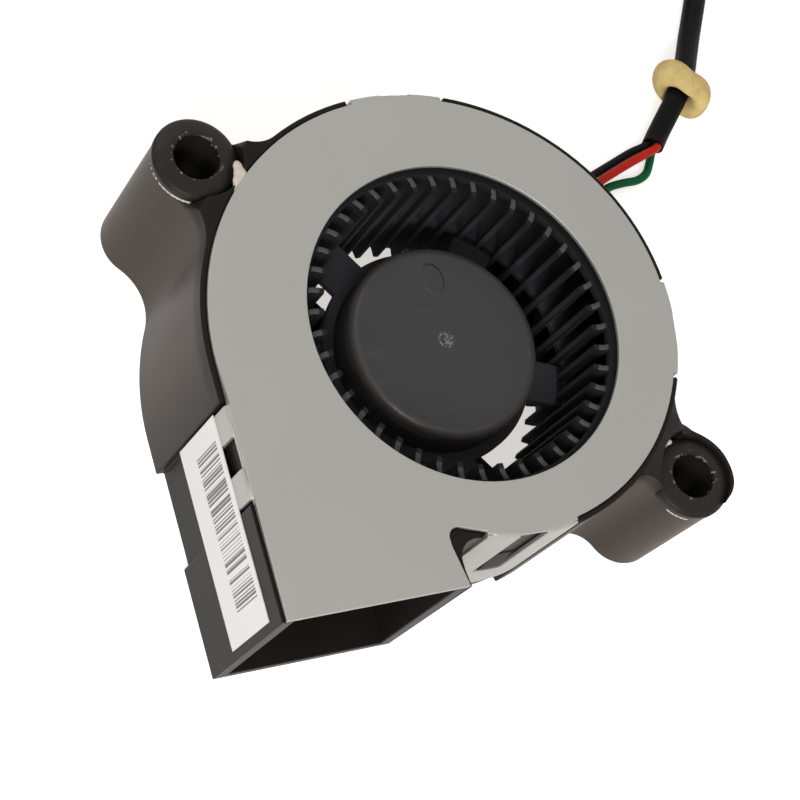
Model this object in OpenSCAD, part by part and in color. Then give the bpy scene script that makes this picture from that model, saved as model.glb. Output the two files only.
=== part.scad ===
// A 50 mm class direct-current blower fan. The air is drawn in through the round
// intake of the steel cover and through the open back, and is thrown out of the
// rectangular mouth. The origin is on the rotor's axis at the back face, +Z points
// to the intake and the mouth faces -Y. All lengths are in millimetres.

/* [Casing] */
// Depth from the back face to the top of the cover
depth = 20; // [19:0.5:26]
// Radius of the scroll's first arc, at the edge of the cover
scroll_r = 22.4; // [22.2:0.1:24]
// How much larger the radius of the scroll's second arc is
scroll_step = 2.8; // [2.2:0.1:3.6]
// Offset of the first arc's centre along X
arc_x = 0.65; // [0.4:0.05:1]
// Offset of the first arc's centre along Y
arc_y = 0.85; // [0.6:0.05:1.2]
// Direction in which the two arcs touch, in degrees
join_angle = 43; // [38:1:50]
// Distance from the rotor's axis to the mouth
mouth_reach = 25.75; // [25:0.25:30]
// Distance from the rotor's axis to the outside of the duct's inner wall
duct_right = 7.85; // [6.5:0.1:8.5]
// Thickness of the duct's inner wall
duct_wall = 1.4; // [1:0.1:2]
// Radius of the tongue's tip
tongue_r = 0.7; // [0.4:0.1:1]
// Width of the ledge that carries the cover
ledge_w = 0.9; // [0.7:0.1:1.4]
// Width of the rim outside the cover
rim_w = 0.65; // [0.6:0.05:1]
// Width of the rim along the duct
rim_duct = 0.4; // [0.3:0.05:0.6]
// Thickness of the back plate
base_t = 1.2; // [1:0.1:1.5]
// Distance below the axis at which the wide scroll wall ends
shoulder_y = 4.7; // [4:0.1:6]

/* [Rear inlet] */
// Outer radius of the rear inlet
inlet_r = 17; // [15:0.1:17.4]
// Radius of the disc that carries the motor
motor_disc_r = 10.6; // [10.4:0.1:11]
// Width of the spokes
spoke_w = 3; // [2:0.2:4]
// Width of the spoke that the wires lie on
wire_spoke_w = 5.6; // [5:0.2:7]
// Direction of the wires' way out, in degrees
wire_angle = 35; // [33:1:37]
// Height of the wires' slot in the wall
wire_slot_h = 1.4; // [1.3:0.1:2]
// Width of the wires' slot in the wall
wire_slot_w = 4.8; // [4.4:0.1:6]

/* [Cover] */
// Thickness of the steel cover
cover_t = 0.5; // [0.4:0.05:0.8]
// How far the cover stands above the rim
cover_proud = 0.3; // [0.1:0.05:0.4]
// Gap round the cover in its seat
seat_gap = 0.08; // [0.05:0.01:0.15]
// Radius of the intake
intake_r = 16.5; // [15.5:0.1:17.5]
// Width of the rim beside the cover at the mouth
edge_gap_front = 0.1; // [0.05:0.01:0.3]
// Width of the rim beside the cover at the notch
edge_gap_back = 0.8; // [0.5:0.1:1]
// Radius of the notch beside the duct
notch_r = 1; // [0.8:0.1:1.3]

/* [Snap tabs] */
// Width of each tab
tab_w = 9.9; // [8:0.1:11]
// Length of the tabs on the scroll, below the top of the cover
tab_long = 15.8; // [12:0.1:17]
// Length of the tab on the duct
tab_short = 11; // [10:0.1:12]
// Width of the windows in the tabs
window_w = 3.1; // [2.5:0.1:4]
// Where the long windows end, below the top of the cover
window_long = 11.3; // [9:0.1:11.5]
// Where the duct tab's window ends, below the top of the cover
window_short = 8; // [6:0.1:8.5]
// Radius of the tabs' lower corners
tab_corner = 1.5; // [0.5:0.1:2]
// Gap between a tab and the wall behind it
tab_gap = 0.05; // [0.03:0.01:0.1]
// Gap at the sides of a tab
tab_side = 0.4; // [0.2:0.05:0.6]
// Direction of the tab at the tongue, in degrees
tab_tongue = -91; // [-93:0.5:-89]
// Direction of the tab opposite the duct, in degrees
tab_side_wall = -11.4; // [-12:0.2:0]
// Direction of the tab opposite the mouth, in degrees
tab_back = 87.6; // [80:0.2:90]
// Distance below the axis of the middle of the duct's tab
duct_tab_y = 9.65; // [9.65:0.05:11]
// Height of the ramp of a catch
catch_ramp = 4; // [2:0.5:5]

/* [Mounting ears] */
// Distance of the left ear from the axis along -X
ear_left_x = 22.5; // [22:0.1:23]
// Distance of the left ear from the axis along +Y
ear_left_y = 20.1; // [19.5:0.1:21]
// Distance of the right ear from the axis along +X
ear_right_x = 22; // [21.5:0.1:22.5]
// Distance of the right ear from the axis along -Y
ear_right_y = 18.2; // [18:0.1:18.6]
// Outer radius of the ears
ear_r = 4.2; // [4:0.1:5]
// Radius of the hole that holds a bush
ear_bore = 3.2; // [2.9:0.1:3.5]
// Height of the left bush
bush_left_h = 19.3; // [17:0.1:20]
// Height of the right bush
bush_right_h = 16.6; // [15:0.1:20]
// Thickness of the bushes' flange
flange_t = 1.6; // [1.2:0.1:2]
// How far a flange stands out over its ear
flange_over = 0.1; // [0:0.05:0.2]
// Radius of the hole through the bushes
bush_bore = 2.25; // [2:0.05:2.6]
// Radius of the large fillet between the left ear and the scroll
web_r = 6; // [5:0.2:7]
// Radius of the small fillets between ears and scroll
web_small_r = 3.5; // [3:0.1:3.8]
// How far the left web's top drops below its bush, beside the ear
web_drop_left = 1.8; // [0:0.1:3]
// How far the right web's top drops below its bush, beside the ear
web_drop_right = 0; // [0:0.1:3]
// Distance from an ear's axis at which its web starts to rise
web_rise_start = 1.8; // [1.5:0.1:2.5]
// Length over which the left web rises to the rim
web_rise_left = 1.2; // [0.8:0.1:3]
// Length over which the right web rises to the rim
web_rise_right = 5.2; // [3:0.1:6]

/* [Impeller] */
// Number of blades
blades = 43; // [37:2:47]
// Radius of the blades' outer ends
blade_outer = 19.4; // [19:0.1:19.7]
// Radius of the blades' inner ends
blade_inner = 14.3; // [13.8:0.1:14.8]
// Thickness of a blade
blade_t = 0.62; // [0.5:0.02:0.8]
// How far the outer ends lean forward, in degrees
blade_lean = 9; // [4:1:14]
// Height of the blades' lower ends
blade_low = 3; // [2.8:0.1:4]
// Gap between the blades and the cover
blade_gap = 0.7; // [0.5:0.1:1]
// Outer radius of the hub
hub_r = 10.2; // [10:0.05:10.4]
// Depth of the hub's top below the cover's top
hub_sunk = 5; // [4.5:0.1:5.5]
// Thickness of the hub's top
hub_top_t = 1.3; // [1:0.1:1.5]
// Thickness of the hub's wall
hub_wall = 0.9; // [0.8:0.05:1.1]
// Radius of the hub's shoulder
hub_round = 1.2; // [0.8:0.1:2]
// Height of the lower edge of the hub
hub_low = 4.2; // [4:0.1:4.6]
// Top of the web that carries the blades
web_top = 10.4; // [9:0.1:12]
// Thickness of the web
web_t = 1; // [0.8:0.1:1.4]
// Inner radius of the ring that joins the blades' upper ends
ring_inner = 16.1; // [15.8:0.1:17.5]
// Thickness of that ring
ring_t = 1; // [0.8:0.1:1.5]
// Number of arms in the web
arms = 5; // [4:1:6]
// Width of an arm
arm_w = 4.4; // [3.5:0.1:5.5]
// Direction of the first arm, in degrees
arm_angle = -92; // [-120:1:-60]
// Inner radius of the openings between the arms
gap_inner = 11.3; // [11:0.1:11.8]
// Outer radius of the openings between the arms
gap_outer = 15.2; // [14.9:0.1:15.6]

/* [Motor] */
// Radius of the shaft
shaft_r = 1; // [0.9:0.05:1.1]
// Outer radius of the ball bearings
bearing_r = 2.5; // [2.4:0.05:2.7]
// Width of the ball bearings
bearing_w = 2.5; // [2.2:0.1:2.8]
// Radius of the bearing balls
ball_r = 0.4; // [0.35:0.01:0.42]
// Number of balls in a bearing
ball_count = 7; // [6:1:8]
// Wall of the bearing tube
tube_wall = 0.5; // [0.4:0.05:0.6]
// Height of the lower bearing's underside
lower_bearing_z = 2.4; // [2.3:0.1:2.6]
// Height of the upper bearing's underside
upper_bearing_z = 9.4; // [9:0.1:9.6]
// Underside of the circuit board
board_z = 1.8; // [1.6:0.1:1.9]
// Thickness of the circuit board
board_t = 0.8; // [0.6:0.1:0.9]
// Radius of the circuit board
board_r = 9.8; // [9.5:0.1:10]
// Underside of the stator's steel core
core_z = 5.2; // [5:0.1:5.4]
// Height of the stator's steel core
core_h = 3.6; // [3:0.1:4]
// Outer radius of the stator's steel core
core_r = 7.4; // [7.2:0.05:7.5]
// Width of the stator's teeth
tooth_w = 1.8; // [1.5:0.1:2.2]
// Thickness of the insulating caps
cap_t = 0.7; // [0.5:0.05:0.8]
// Thickness of the copper windings
winding_t = 0.9; // [0.6:0.05:1]
// Air gap between magnet and core
air_gap = 0.35; // [0.25:0.05:0.45]
// Wall of the magnet ring
magnet_t = 0.9; // [0.7:0.05:0.95]
// Height of the magnet ring
magnet_h = 5.4; // [4.5:0.1:6]

/* [Label] */
// Length of the label along the duct
label_l = 19.9; // [15:0.1:20.5]
// Width of the label
label_w = 10; // [8:0.1:11]
// Height of the label's lower edge
label_z = 7; // [6:0.1:7.5]
// Thickness of the label
label_t = 0.1; // [0.08:0.01:0.2]

/* [Lead] */
// Diameter of a wire
wire_d = 1; // [0.9:0.05:1]
// Diameter of the sleeve
sleeve_d = 2.6; // [2.4:0.1:2.7]
// Radius of the lead's coil at the middle of its turns
coil_r = 14; // [13:0.5:16]
// Number of turns in the coil
coil_turns = 2; // [1:1:3]
// Outer radius of the foam ring
foam_r = 3.25; // [3:0.05:3.25]
// Length of the foam ring
foam_l = 3.4; // [2.5:0.1:4]
// Spacing of the contacts in the connector
pitch = 2.5; // [2:0.1:2.6]
// Length of the connector
plug_l = 10; // [9:0.5:12]
// Height of the connector
plug_h = 5.7; // [4:0.1:5.8]

/* [Hidden] */
$fn = 96;
eps = 0.01;
fit = 0.01;
bite = 0.004;
far = 60;

poles = 4;
duct_tab_w = tab_w - 2 * tab_side;
ear_left = [-ear_left_x, ear_left_y];
ear_right = [ear_right_x, -ear_right_y];
tab_angles = [tab_tongue, tab_side_wall, tab_back];
cover_z = depth - cover_t;
rim_top = depth - cover_proud;
arc_a = [arc_x, arc_y];
arc_b_r = scroll_r + scroll_step;
arc_b = arc_a - scroll_step * [cos(join_angle), sin(join_angle)];
edge_left = arc_b.x - arc_b_r;
duct_left = edge_left - rim_duct;
mouth_y = -mouth_reach;
duct_tab_wall = duct_left + cover_t + tab_gap;

bush_r = ear_r + flange_over;
hub_top = depth - hub_sunk;
blade_high = cover_z - blade_gap;

tube_r = bearing_r + tube_wall;
tube_top = upper_bearing_z + bearing_w + 0.1;
core_top = core_z + core_h;
magnet_r = core_r + air_gap + magnet_t;
yoke_r = hub_r - hub_wall - fit;
yoke_low = hub_low + 0.4;
hub_ceiling = hub_top - hub_top_t;
spring_top = hub_ceiling - 0.8;
pad_z = board_z + board_t;

// Routes of the free wires and of the sleeve, each point [x, y, z]
route_red = [
    [6.9, 5.2, 3.2], [8.6, 6.4, 3.2], [10.2, 7.5, 2.5], [11.8, 8.7, 1.8],
    [14.2, 10.4, 1.8], [16.7, 12.1, 1.8], [19.5, 14.1, 1.8], [22.4, 15.8, 1.6],
    [26, 17.6, 1.4], [29.5, 19.3, 1.4], [33, 21, 1.4], [35.4, 22, 1.4],
    [37.8, 22.9, 1.6], [39.8, 23.6, 1.8], [41.7, 24.4, 2], [43.7, 26.6, 2]];
route_black = [
    [6.1, 6.4, 3.2], [7.8, 7.6, 3.2], [9.4, 8.7, 2.5], [11, 9.8, 1.8],
    [13.4, 11.5, 1.8], [15.9, 13.2, 1.8], [18.7, 15.2, 1.8], [21.4, 17, 1.2],
    [24.5, 18.6, 0.7], [28, 20.1, 0.6], [32, 21.8, 0.6], [36, 23.4, 0.6],
    [38.6, 24.4, 0.8], [41, 25.1, 1.4], [43, 27.3, 1.5]];
route_green = [
    [7.7, 4.1, 3.2], [9.4, 5.3, 3.2], [11, 6.4, 2.5], [12.6, 7.5, 1.8],
    [15, 9.2, 1.8], [17.5, 11, 1.8], [20.3, 12.9, 1.8], [23, 14.4, 1.2],
    [26.5, 16.3, 0.7], [30.3, 18.4, 0.6], [33.9, 20.3, 0.6], [36.2, 20.8, 0.6],
    [38.4, 21, 0.6], [39.9, 21.7, 0.6], [40.8, 22.9, 0.6], [41.6, 24.4, 0.9],
    [43.7, 26.6, 0.9]];
route_sleeve = [
    [41.4, 24.7, 1.5], [42.6, 26.1, 1.6], [44, 27.8, 2.3], [45.4, 29.5, 3],
    [46.5, 30.9, 3.3], [47.9, 32.9, 3.1], [49.6, 35.3, 2.3], [51.6, 38.4, 1.6],
    [53.8, 42.2, 1.4], [56, 46.3, 1.4], [58, 50.2, 1.4], [60, 54, 1.4]];
foam_at = route_sleeve[4];
foam_to = route_sleeve[5] - route_sleeve[3];
lead_end = route_sleeve[len(route_sleeve) - 1];
lead_angle = -30;
coil_at = [lead_end.x - coil_r * cos(lead_angle), lead_end.y - coil_r * sin(lead_angle)];
coil_top_z = lead_end.z + (coil_turns - 1) * sleeve_d;
tail_at = [coil_at.x, coil_at.y + coil_r, coil_top_z];
route_tail = [
    tail_at, tail_at + [-3, 0, -0.2], tail_at + [-6, 0, -0.6], tail_at + [-9, 0, -1]];
tail_end = route_tail[len(route_tail) - 1];
tail_l = 8;
plug_at = tail_end - [tail_l, 0, 0];
plug_size = [plug_l, 3 * pitch, plug_h];

// ---- Shared shapes -------------------------------------------------------

function polar(r, a) = [r * cos(a), r * sin(a)];

function unit(v) = v / norm(v);

// Centre of the fillet that touches a round wall and a round ear from outside
function fillet_centre(c, r, ear, rf, side) =
    let (d = norm(ear - c),
         a = r + rf,
         b = ear_r + rf,
         turn = acos((a * a + d * d - b * b) / (2 * a * d)),
         toward = atan2(ear.y - c.y, ear.x - c.x))
    c + polar(a, toward + side * turn);

// Centre of the fillet outside a circle, beside an upright line at x
function corner_centre(c, r, x, rf) =
    [x + rf, c.y - sqrt(pow(r + rf, 2) - pow(x + rf - c.x, 2))];

module sector(c, from, to) {
    middle = (from + to) / 2;
    translate(c)
        polygon([[0, 0], polar(far, from), polar(far, middle), polar(far, to)]);
}

// The scroll's outline at the cover's edge, grown by g
module scroll(g) {
    translate(arc_a)
        circle(scroll_r + g);
    intersection() {
        translate(arc_b)
            circle(arc_b_r + g);
        sector(arc_b, join_angle, 180);
    }
}

// Rounds the sharp corner between a circle about arc_a and a line at x with a fillet
module corner_fillet(r, x, rf) {
    f = corner_centre(arc_a, r, x, rf);
    difference() {
        union() {
            children();
            polygon([[x - 1, f.y], f, arc_a + (r - 1) * unit(f - arc_a), [x - 1, f.y + 4]]);
        }
        translate(f)
            circle(rf + bite);
    }
}

// The cover's outline, grown by g
module cover_outline(g) {
    back = -duct_right - edge_gap_back + g;
    front = -duct_right - edge_gap_front + g;
    corner_fillet(scroll_r + g, back, notch_r - g) {
        scroll(g);
        polygon([[edge_left - g, arc_b.y], [edge_left - g, mouth_y], [front, mouth_y],
                 [back, mouth_y + 4], [back, arc_b.y]]);
    }
}

module ear_web(c, r, ear, rf_low, rf_high) {
    low = fillet_centre(c, r, ear, rf_low, -1);
    high = fillet_centre(c, r, ear, rf_high, 1);
    difference() {
        polygon([c, low, ear, high]);
        translate(low)
            circle(rf_low + bite);
        translate(high)
            circle(rf_high + bite);
    }
}

// Web between a round wall and an ear, whose top rises from the ear to the rim
module sloped_web(c, r, ear, rf_low, rf_high, ear_z, rise_l) {
    toward = c - ear;
    intersection() {
        linear_extrude(rim_top)
            ear_web(c, r, ear, rf_low, rf_high);
        translate(ear)
            rotate(atan2(toward.y, toward.x))
                translate([0, far / 2, 0])
                    rotate([90, 0, 0])
                        linear_extrude(far)
                            polygon([[-far, -1], [-far, ear_z], [web_rise_start, ear_z],
                                     [web_rise_start + 2 * rise_l, 2 * rim_top - ear_z],
                                     [far, 2 * rim_top - ear_z], [far, -1]]);
    }
}

module casing_outline() {
    corner_fillet(scroll_r + rim_w, -duct_right, 2) {
        scroll(rim_w);
        translate([duct_left, mouth_y])
            square([-duct_right - duct_left, arc_b.y - mouth_y]);
        translate([edge_left - rim_w, -shoulder_y])
            square([far / 4, arc_b.y + shoulder_y]);
    }
}

// The air's way inside the casing
module passage() {
    x = -duct_right - duct_wall;
    corner_fillet(scroll_r - ledge_w, x, tongue_r) {
        scroll(-ledge_w);
        translate([edge_left + ledge_w, mouth_y - 1])
            square([x - edge_left - ledge_w, arc_b.y - mouth_y + 1]);
    }
}

module rear_inlet() {
    difference() {
        circle(inlet_r);
        circle(motor_disc_r);
        for (k = [1:3])
            rotate(wire_angle + 90 * k)
                translate([0, -spoke_w / 2])
                    square([far / 2, spoke_w]);
        translate(arc_a)
            rotate(wire_angle)
                translate([0, -wire_spoke_w / 2])
                    square([far / 2, wire_spoke_w]);
    }
}

function tab_centre(a) = a > join_angle ? arc_b : arc_a;

function tab_radius(a) = a > join_angle ? arc_b_r : scroll_r;

function side_half(a) = (tab_w / 2 + tab_side) / tab_radius(a) * 180 / PI;

// ---- Casing --------------------------------------------------------------

// Catch that a tab's window snaps over, standing out along +X from the wall
module catch(z) {
    width = window_w - 0.7;
    translate([0, width / 2, 0])
        rotate([90, 0, 0])
            linear_extrude(width)
                polygon([[-0.4, z], [tab_gap + cover_t, z],
                         [tab_gap + cover_t, z + 0.8], [0, z + catch_ramp],
                         [-0.4, z + catch_ramp]]);
}

module tab_recess(a) {
    linear_extrude(far, center = true)
        intersection() {
            difference() {
                translate(tab_centre(a))
                    circle(tab_radius(a) + 2);
                translate(tab_centre(a))
                    circle(tab_radius(a) + tab_gap);
            }
            sector(tab_centre(a), a - side_half(a), a + side_half(a));
        }
}

module ear(at, bush_h) {
    translate(at)
        cylinder(r = ear_r, h = bush_h - flange_t);
}

module ear_hole(at, bush_h) {
    translate(at) {
        translate([0, 0, -1])
            cylinder(r = ear_bore, h = far);
        translate([0, 0, bush_h - flange_t])
            cylinder(r = bush_r + 0.15, h = far);
    }
}

module casing() {
    difference() {
        union() {
            linear_extrude(rim_top)
                casing_outline();
            sloped_web(arc_b, arc_b_r + rim_w, ear_left, web_small_r, web_r,
                       bush_left_h - web_drop_left, web_rise_left);
            sloped_web(arc_a, scroll_r + rim_w, ear_right, web_small_r, web_small_r,
                       bush_right_h - web_drop_right, web_rise_right);
            ear(ear_left, bush_left_h);
            ear(ear_right, bush_right_h);
        }
        difference() {
            translate([0, 0, base_t])
                linear_extrude(far)
                    passage();
            cylinder(r = tube_r + 1.4, h = board_z);
        }
        translate([0, 0, base_t])
            cylinder(r = tube_r + fit, h = far);
        translate([0, 0, cover_z])
            linear_extrude(far)
                cover_outline(seat_gap);
        translate([0, 0, -1])
            linear_extrude(base_t + 2)
                rear_inlet();
        for (a = tab_angles)
            tab_recess(a);
        translate([duct_tab_wall - 2, -duct_tab_y - tab_w / 2, -1])
            cube([2, tab_w, far]);
        translate([arc_a.x, arc_a.y, base_t])
            rotate(wire_angle)
                translate([scroll_r - 3, -wire_slot_w / 2, 0])
                    cube([6, wire_slot_w, wire_slot_h]);
        ear_hole(ear_left, bush_left_h);
        ear_hole(ear_right, bush_right_h);
    }
}

module housing() {
    color([0.17, 0.16, 0.15])
        union() {
            casing();
            for (a = tab_angles)
                translate(tab_centre(a))
                    rotate(a)
                        translate([tab_radius(a) + tab_gap, 0, 0])
                            catch(depth - window_long + 0.3);
            translate([duct_tab_wall, -duct_tab_y, 0])
                mirror([1, 0, 0])
                    catch(depth - window_short + 0.3);
        }
}

// ---- Cover ---------------------------------------------------------------

// Section of a bent tab: x runs outwards from the cover's edge
module tab_section(l) {
    translate([-0.8, cover_z])
        square([0.8 + tab_gap * 2, cover_t]);
    intersection() {
        translate([tab_gap * 2, cover_z])
            circle(cover_t);
        translate([tab_gap * 2, cover_z])
            square(cover_t);
    }
    translate([tab_gap * 2, depth - l])
        square([cover_t, l - cover_t]);
}

// A tab's face seen from outside, as a block along +X with round lower corners
module tab_block(w, l) {
    rotate([90, 0, 90])
        linear_extrude(far)
            translate([0, depth - l]) {
                translate([-w / 2, tab_corner])
                    square([w, l]);
                translate([tab_corner - w / 2, 0])
                    square([w - 2 * tab_corner, l]);
                for (side = [-1, 1])
                    translate([side * (w / 2 - tab_corner), tab_corner])
                        circle(tab_corner);
            }
}

// The window in a tab, which ends short of the bend at its top
module tab_window(l) {
    translate([-0.5, -window_w / 2, depth - l])
        cube([3, window_w, l - cover_t]);
    translate([0.35, -window_w / 2, cover_z - 0.1])
        cube([3, window_w, 1]);
}

module round_tab(a) {
    difference() {
        intersection() {
            translate(tab_centre(a))
                rotate_extrude($fn = 180)
                    translate([tab_radius(a), 0])
                        tab_section(tab_long + 1);
            translate(tab_centre(a))
                rotate(a)
                    tab_block(tab_w, tab_long);
        }
        translate(tab_centre(a))
            rotate(a)
                translate([tab_radius(a), 0, 0])
                    tab_window(window_long);
    }
}

module flat_tab() {
    face = cover_t + 2 * tab_gap;
    translate([duct_left + face, -duct_tab_y, 0])
        mirror([1, 0, 0])
            difference() {
                translate([0, duct_tab_w / 2, 0])
                    rotate([90, 0, 0])
                        linear_extrude(duct_tab_w)
                            tab_section(tab_short);
                tab_window(window_short);
            }
}

module cover_plate() {
    color([0.70, 0.69, 0.67]) {
        difference() {
            translate([0, 0, cover_z])
                linear_extrude(cover_t)
                    cover_outline(0);
            translate([0, 0, cover_z - 1])
                cylinder(r = intake_r, h = 3);
            translate([duct_left, -duct_tab_y - duct_tab_w / 2, cover_z - 1])
                cube([cover_t, duct_tab_w, 3]);
        }
        for (a = tab_angles)
            round_tab(a);
        flat_tab();
    }
}

// ---- Rubber bushes -------------------------------------------------------

module bush(at, h) {
    color([0.13, 0.13, 0.12])
        translate(at)
            rotate_extrude()
                difference() {
                    union() {
                        square([ear_bore - fit, h - flange_t]);
                        translate([0, h - flange_t])
                            square([bush_r, flange_t * 0.45]);
                        intersection() {
                            translate([0, h - 3 * bush_r])
                                circle(3 * bush_r, $fn = 240);
                            translate([0, h - flange_t])
                                square([bush_r - 0.15, flange_t]);
                        }
                    }
                    translate([-1, -1])
                        square([1 + bush_bore, h + 2]);
                    polygon([[bush_bore - 1, h + 1], [bush_bore + 1.5, h + 1],
                             [bush_bore, h - 0.5], [bush_bore - 1, h - 0.5]]);
                }
}

module bush_left() {
    bush(ear_left, bush_left_h);
}

module bush_right() {
    bush(ear_right, bush_right_h);
}

module barcode_label() {
    color("white")
        translate([duct_left - label_t, mouth_y + 0.9, label_z])
            cube([label_t, label_l, label_w]);
}

// ---- Bearings ------------------------------------------------------------

ball_ring = (shaft_r + bearing_r) / 2;
race_gap = 0.6;
race_play = 0.02;

module race(inner, outer, groove_r) {
    rotate_extrude()
        difference() {
            translate([inner, 0])
                square([outer - inner, bearing_w]);
            translate([groove_r, bearing_w / 2])
                circle(ball_r + race_play);
        }
}

module bearing_outer(z) {
    color("silver")
        translate([0, 0, z])
            race(ball_ring + race_gap / 2, bearing_r - fit, ball_ring);
}

module bearing_inner(z) {
    color("gainsboro")
        translate([0, 0, z])
            race(shaft_r + fit, ball_ring - race_gap / 2, ball_ring);
}

module bearing_balls(z) {
    color("gray")
        for (k = [0:ball_count - 1])
            rotate(360 / ball_count * k)
                translate([ball_ring, 0, z + bearing_w / 2])
                    sphere(ball_r, $fn = 32);
}

module bearing_tube() {
    color("goldenrod")
        difference() {
            translate([0, 0, base_t])
                cylinder(r = tube_r, h = tube_top - base_t);
            cylinder(r = bearing_r - 0.3, h = far);
            cylinder(r = bearing_r, h = lower_bearing_z + bearing_w);
            translate([0, 0, upper_bearing_z])
                cylinder(r = bearing_r, h = far);
        }
}

// ---- Stator --------------------------------------------------------------

module pole_cross(width, r) {
    for (k = [0:poles - 1])
        rotate(360 / poles * k)
            translate([0, -width / 2])
                square([r, width]);
}

module stator_core() {
    shoe_t = 0.9;
    color([0.35, 0.36, 0.38])
        translate([0, 0, core_z])
            linear_extrude(core_h)
                difference() {
                    union() {
                        circle(tube_r + 1.1);
                        intersection() {
                            circle(core_r);
                            pole_cross(tooth_w, far);
                        }
                        difference() {
                            circle(core_r);
                            circle(core_r - shoe_t);
                            rotate(180 / poles)
                                pole_cross(1.6, far);
                        }
                    }
                    circle(tube_r + fit);
                }
}

module insulator(z0, z1, from, to) {
    color([0.86, 0.84, 0.78])
        difference() {
            union() {
                translate([0, 0, from])
                    cylinder(r = tube_r + 1.2, h = to - from);
                translate([0, 0, z0])
                    linear_extrude(z1 - z0)
                        pole_cross(tooth_w + 0.5, core_r - 0.9);
            }
            translate([0, 0, -1])
                cylinder(r = tube_r + fit, h = far);
        }
}

module insulator_lower() {
    insulator(core_z - cap_t, core_z, pad_z, core_z);
}

module insulator_upper() {
    insulator(core_top, core_top + cap_t, core_top, tube_top - 0.8);
}

// Exact rounded rectangle about the origin
module rounded(w, h, r) {
    square([w, h - 2 * r], center = true);
    square([w - 2 * r, h], center = true);
    for (x = [-1, 1])
        for (y = [-1, 1])
            translate([x * (w / 2 - r), y * (h / 2 - r)])
                circle(r, $fn = 32);
}

module winding(k) {
    slot_w = tooth_w + 0.6;
    slot_h = core_h + 2 * cap_t + 0.1;
    from = tube_r + 1.35;
    to = sqrt(pow(core_r - 1, 2) - pow(slot_w / 2 + winding_t, 2));
    color([0.72, 0.40, 0.18])
        rotate(360 / poles * (k - 1))
            translate([from, 0, core_z + core_h / 2])
                rotate([90, 0, 90])
                    linear_extrude(to - from)
                        difference() {
                            rounded(slot_w + 2 * winding_t, slot_h + 2 * winding_t, winding_t);
                            square([slot_w, slot_h], center = true);
                        }
}

module winding_pins() {
    color("silver")
        for (k = [0:2])
            rotate(45 + 90 * k + 90)
                translate([5.6, 0, pad_z])
                    cylinder(r = 0.25, h = 1.2, $fn = 24);
}

// ---- Circuit -------------------------------------------------------------

module circuit_board() {
    color([0.10, 0.32, 0.18])
        translate([0, 0, board_z])
            difference() {
                cylinder(r = board_r, h = board_t);
                translate([0, 0, -1])
                    cylinder(r = tube_r + 0.1, h = board_t + 2);
            }
}

module driver_chip() {
    color([0.08, 0.08, 0.09])
        rotate(150)
            translate([7.6, 0, pad_z + 0.5])
                cube([2.2, 3.6, 1], center = true);
}

module board_parts() {
    color([0.62, 0.52, 0.38])
        for (a = [205, 235, 290])
            rotate(a)
                translate([8, 0, pad_z + 0.35])
                    cube([1, 1.8, 0.7], center = true);
}

module solder_joints() {
    color("silver")
        for (p = [route_red[0], route_black[0], route_green[0]])
            translate([p.x, p.y, pad_z])
                rotate(wire_angle)
                    translate([-1, 0, 0])
                        cylinder(r1 = 0.65, r2 = 0.35, h = 0.8);
}

// ---- Rotor ---------------------------------------------------------------

module hub() {
    boss_r = 2.2;
    rotate_extrude()
        difference() {
            union() {
                translate([0, hub_low])
                    square([hub_r, hub_top - hub_round - hub_low]);
                translate([hub_r - hub_round, hub_top - hub_round])
                    circle(hub_round);
                translate([0, hub_low])
                    square([hub_r - hub_round, hub_top - hub_low]);
            }
            difference() {
                translate([0, 0])
                    square([hub_r - hub_wall, hub_ceiling]);
                translate([0, spring_top])
                    square([boss_r, far]);
            }
            square([shaft_r + fit, hub_top - 0.7]);
            translate([0, hub_top - 0.15])
                square([0.6, 1]);
        }
}

module web_2d() {
    difference() {
        circle(blade_outer);
        circle(hub_r - hub_wall / 2);
        difference() {
            circle(gap_outer);
            circle(gap_inner);
            for (k = [0:arms - 1])
                rotate(arm_angle + 360 / arms * k)
                    translate([0, -arm_w / 2])
                        square([far, arm_w]);
        }
    }
}

// One blade, curved forward, between its inner and outer radius
module blade_2d() {
    steps = 5;
    span = blade_outer - blade_inner;
    side = function (s, k)
        let (u = k / steps,
             r = blade_inner + 0.05 + (span - 0.1) * u,
             half = blade_t * (0.5 - 0.12 * u) / r * 180 / PI)
        polar(r, blade_lean * u * u + s * half);
    polygon(concat([for (k = [0:steps]) side(-1, k)],
                   [for (k = [steps:-1:0]) side(1, k)]));
}

module impeller() {
    color([0.12, 0.12, 0.12]) {
        hub();
        translate([0, 0, web_top - web_t])
            linear_extrude(web_t)
                web_2d();
        translate([0, 0, blade_low])
            linear_extrude(blade_high - blade_low)
                for (k = [0:blades - 1])
                    rotate(360 / blades * k)
                        blade_2d();
        translate([0, 0, blade_high - ring_t])
            linear_extrude(ring_t)
                difference() {
                    circle(blade_outer);
                    circle(ring_inner);
                }
    }
}

module rotor_yoke() {
    wall = 0.5;
    color([0.55, 0.56, 0.58])
        rotate_extrude()
            polygon([[yoke_r - wall, yoke_low], [yoke_r, yoke_low],
                     [yoke_r, hub_ceiling - fit], [4.5, hub_ceiling - fit],
                     [4.5, hub_ceiling - wall], [yoke_r - wall, hub_ceiling - wall]]);
}

module magnet_ring() {
    color([0.20, 0.19, 0.19])
        translate([0, 0, yoke_low + 0.2])
            difference() {
                cylinder(r = magnet_r, h = magnet_h);
                translate([0, 0, -1])
                    cylinder(r = magnet_r - magnet_t, h = magnet_h + 2);
            }
}

clip_z = lower_bearing_z - 0.35;

module shaft() {
    color("lightsteelblue")
        rotate_extrude()
            difference() {
                translate([0, base_t + 0.3])
                    square([shaft_r, hub_top - 0.8 - base_t - 0.3]);
                translate([shaft_r - 0.25, clip_z])
                    square([1, 0.25]);
            }
}

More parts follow.
